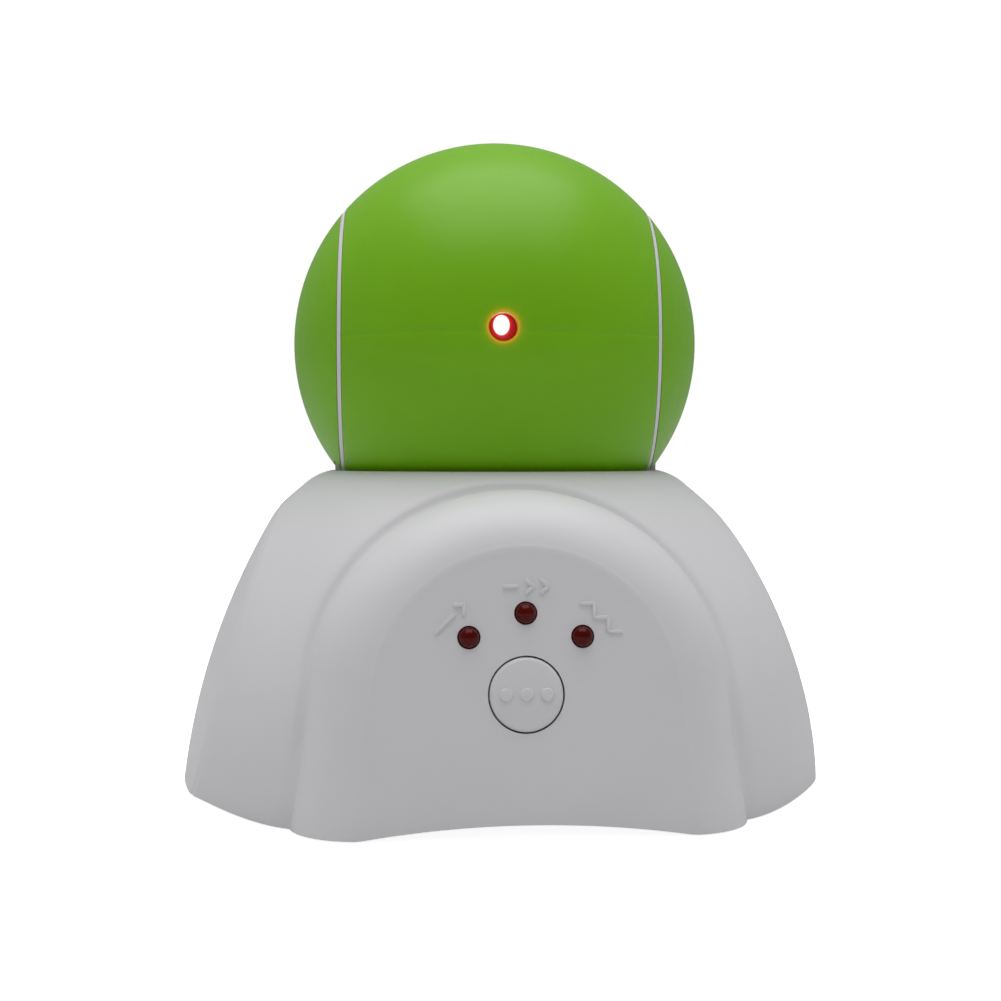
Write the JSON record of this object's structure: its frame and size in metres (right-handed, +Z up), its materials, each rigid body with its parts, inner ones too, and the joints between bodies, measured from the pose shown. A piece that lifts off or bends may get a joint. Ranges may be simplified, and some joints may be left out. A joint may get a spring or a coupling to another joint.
{
  "type": "cat laser teaser",
  "caption": "Pet laser toy: a ball head that pans and tilts on a white domed base, with a mode button, indicator lamps and a battery bay behind a hinged door.",
  "frame": {"origin": "on the floor at the centre of the base, under the pan axis", "axes": "+Z up along the pan axis, -Y out of the panel with the button, +X to the right seen from the front"},
  "size_m": [0.0918, 0.0898, 0.0945],
  "materials": {
    "white_plastic": "satin moulded",
    "green_plastic": "satin moulded",
    "grey_plastic": "plain moulded",
    "black_plastic": "plain moulded",
    "cream_gear": "plain moulded",
    "rubber": "plain",
    "steel": "plated",
    "brass": "turned",
    "cell_wrap": "printed film",
    "board": "solder mask",
    "red_lamp": "clear red",
    "lens": "clear, lit"
  },
  "bodies": {
    "base": {"base_shell": "white_plastic", "bottom_plate": "white_plastic", "case_screws": "steel", "rubber_feet": "rubber", "cell_1": "cell_wrap", "cell_2": "cell_wrap", "cell_3": "cell_wrap", "contact_plates": "steel", "contact_springs": "steel", "main_board": "board", "controller_chip": "black_plastic", "board_screws": "steel", "switch_case": "black_plastic", "lamp_left": "red_lamp", "lamp_middle": "red_lamp", "lamp_right": "red_lamp", "pan_motor": "steel", "pan_motor_bell": "grey_plastic", "idler_pin": "steel", "idler_clip": "black_plastic", "thrust_washer": "grey_plastic", "post_nut": "steel"},
    "battery_door": {"battery_door": "white_plastic"},
    "mode_button": {"mode_button": "white_plastic", "switch_plunger": "grey_plastic"},
    "pan_head": {"turntable": "white_plastic", "turntable_gear": "cream_gear", "left_yoke_arm": "white_plastic", "right_yoke_arm": "white_plastic", "yoke_screws": "steel", "left_cap": "green_plastic", "right_cap": "green_plastic", "sun_gear": "cream_gear"},
    "idler": {"idler_gear": "cream_gear"},
    "pan_rotor": {"pan_motor_shaft": "steel", "pan_motor_pinion": "cream_gear"},
    "drum": {"drum_upper_shell": "green_plastic", "drum_lower_shell": "green_plastic", "drum_left_end": "grey_plastic", "drum_right_end": "grey_plastic", "drum_screws": "steel", "laser_barrel": "brass", "laser_lens": "lens", "laser_diode": "steel", "laser_board": "board", "laser_bracket": "black_plastic", "tilt_gearbox": "brass", "tilt_motor": "steel", "tilt_motor_bell": "black_plastic"},
    "tilt_rotor": {"tilt_shaft": "steel", "tilt_pinion": "cream_gear"}
  },
  "joints": [
    {"name": "pan", "type": "hinge", "parent": "base", "child": "pan_head", "pos_m": [0, 0, 0.0309], "axis": [0, 0, 1], "range_deg": [-150, 150]},
    {"name": "idler_spin", "type": "hinge", "parent": "base", "child": "idler", "pos_m": [-0.01006, 0.02157, 0.0222], "axis": [0, 0, 1], "range_deg": [-701, 701]},
    {"name": "pan_motor_spin", "type": "hinge", "parent": "base", "child": "pan_rotor", "pos_m": [0.00263, 0.03148, 0.0222], "axis": [0, 0, 1], "range_deg": [-2522, 2522]},
    {"name": "tilt", "type": "hinge", "parent": "pan_head", "child": "drum", "pos_m": [0, 0, 0.0645], "axis": [0.9986, -0.0523, 0], "range_deg": [-10, 35]},
    {"name": "tilt_motor_spin", "type": "hinge", "parent": "drum", "child": "tilt_rotor", "pos_m": [0.00069, 0.01318, 0.0645], "axis": [0.9986, -0.0523, 0], "range_deg": [-27, 94]},
    {"name": "button_press", "type": "slide", "parent": "base", "child": "mode_button", "axis": [0, 0.9962, -0.0872], "range_m": [0, 0.0006], "stiffness_N_per_m": 200},
    {"name": "door_hinge", "type": "hinge", "parent": "base", "child": "battery_door", "pos_m": [-0.02875, 0, 0.0036], "axis": [0, 1, 0], "range_deg": [0, 75]}
  ],
  "couplings": [
    {"joint": "idler_spin", "follows": "pan", "ratio": -4.6667},
    {"joint": "pan_motor_spin", "follows": "pan", "ratio": 16.8},
    {"joint": "tilt_motor_spin", "follows": "tilt", "ratio": 2.6667}
  ]
}
